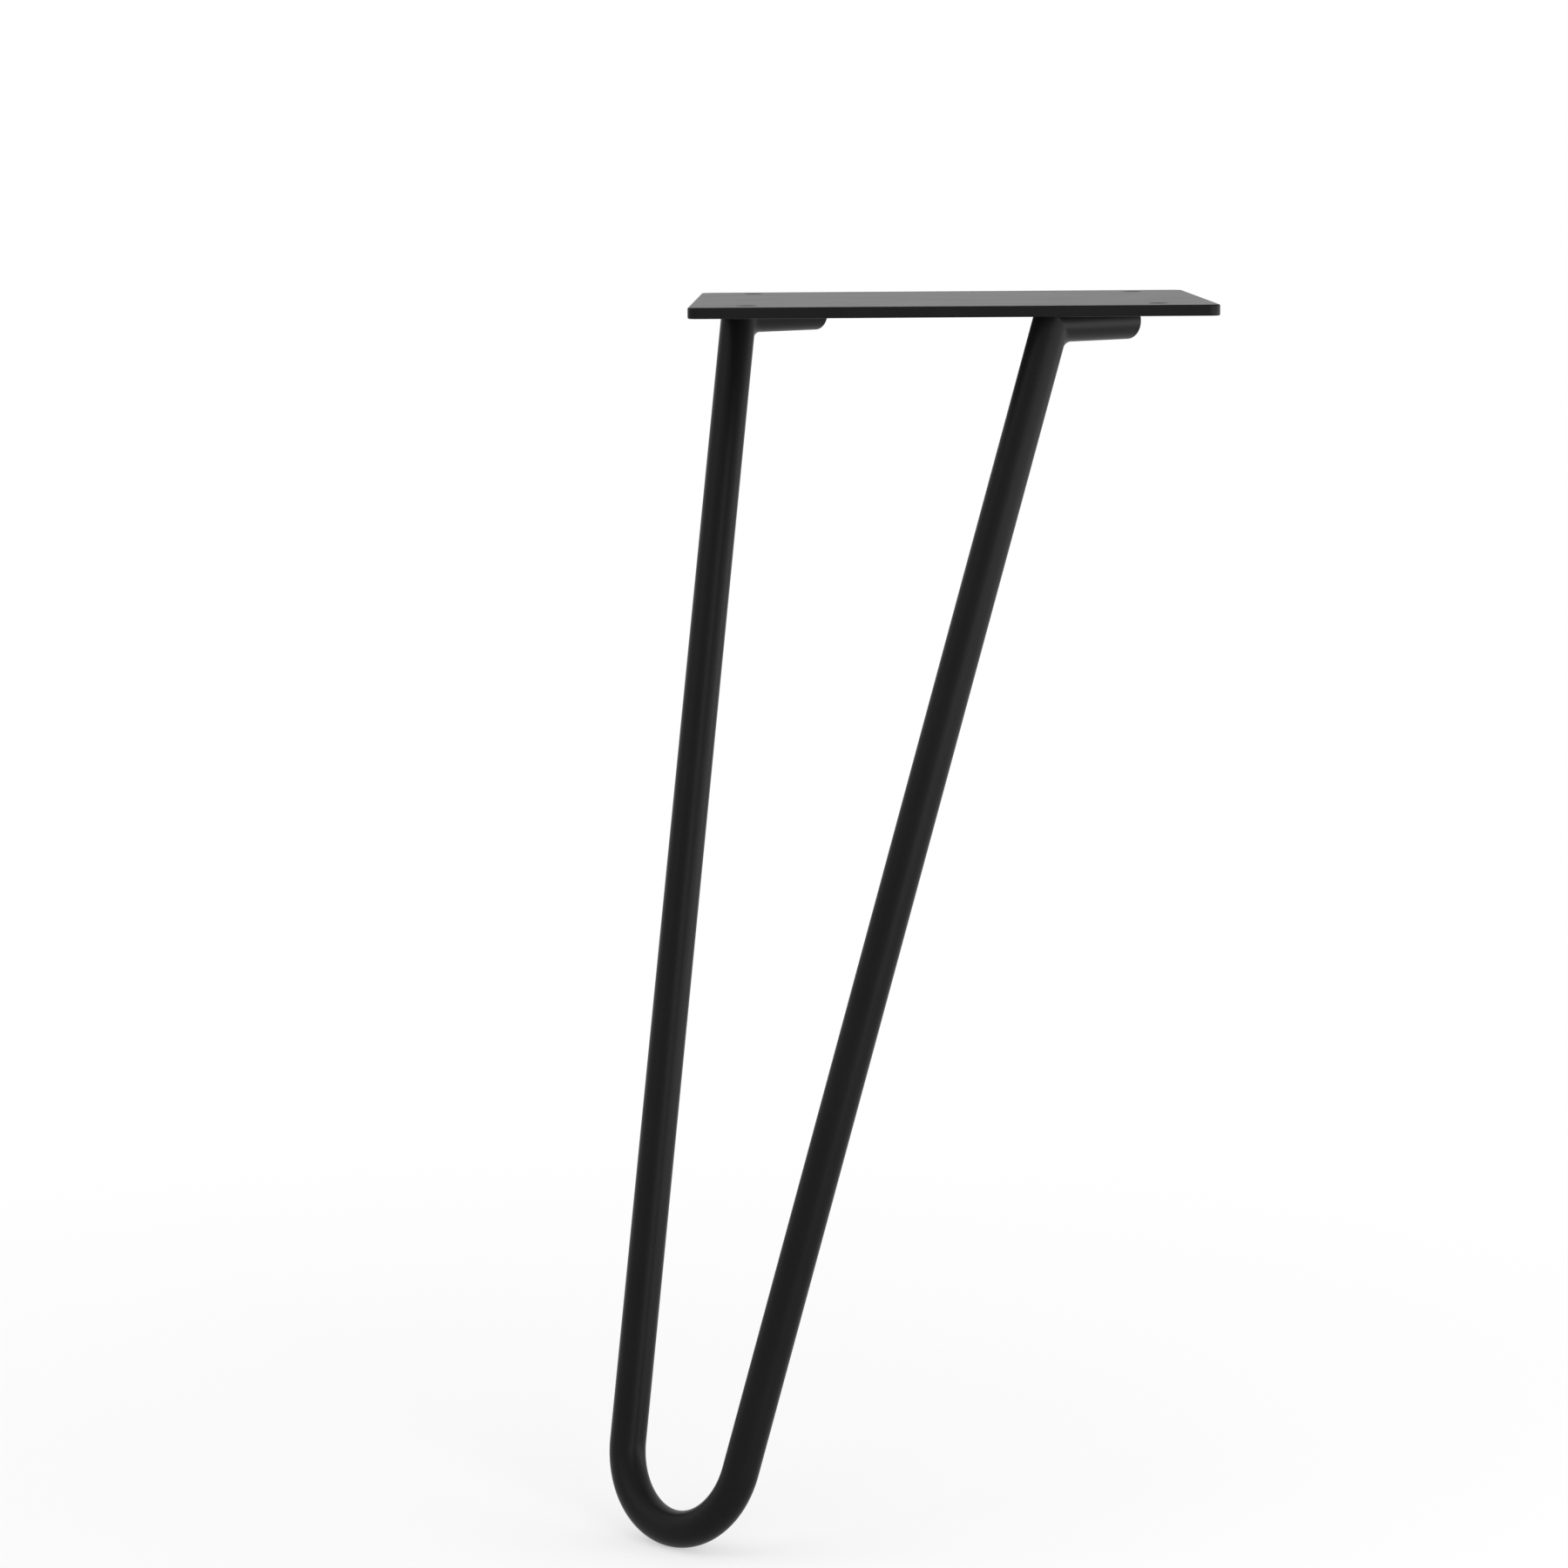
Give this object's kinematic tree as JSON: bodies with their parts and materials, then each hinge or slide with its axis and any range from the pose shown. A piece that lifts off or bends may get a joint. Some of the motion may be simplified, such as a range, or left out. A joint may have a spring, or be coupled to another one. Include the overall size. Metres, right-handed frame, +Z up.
{
  "type": "bathroom cabinet leg",
  "caption": "Splayed hairpin furniture leg of bent round steel bar, welded under a square mounting plate with screw holes, in satin black.",
  "frame": {"origin": "centre of the mounting plate's top face, which goes against the cabinet's underside", "axes": "+Z up, out of the plate's top face; X and Y along the plate's edges; the leg splays out over the (-X, -Y) corner"},
  "size_m": [0.1657, 0.1657, 0.335],
  "materials": {
    "black_powder_coat": "satin"
  },
  "bodies": {
    "root": {"hairpin_rod": "black_powder_coat", "mounting_plate": "black_powder_coat", "weld_beads": "black_powder_coat"}
  },
  "joints": []
}
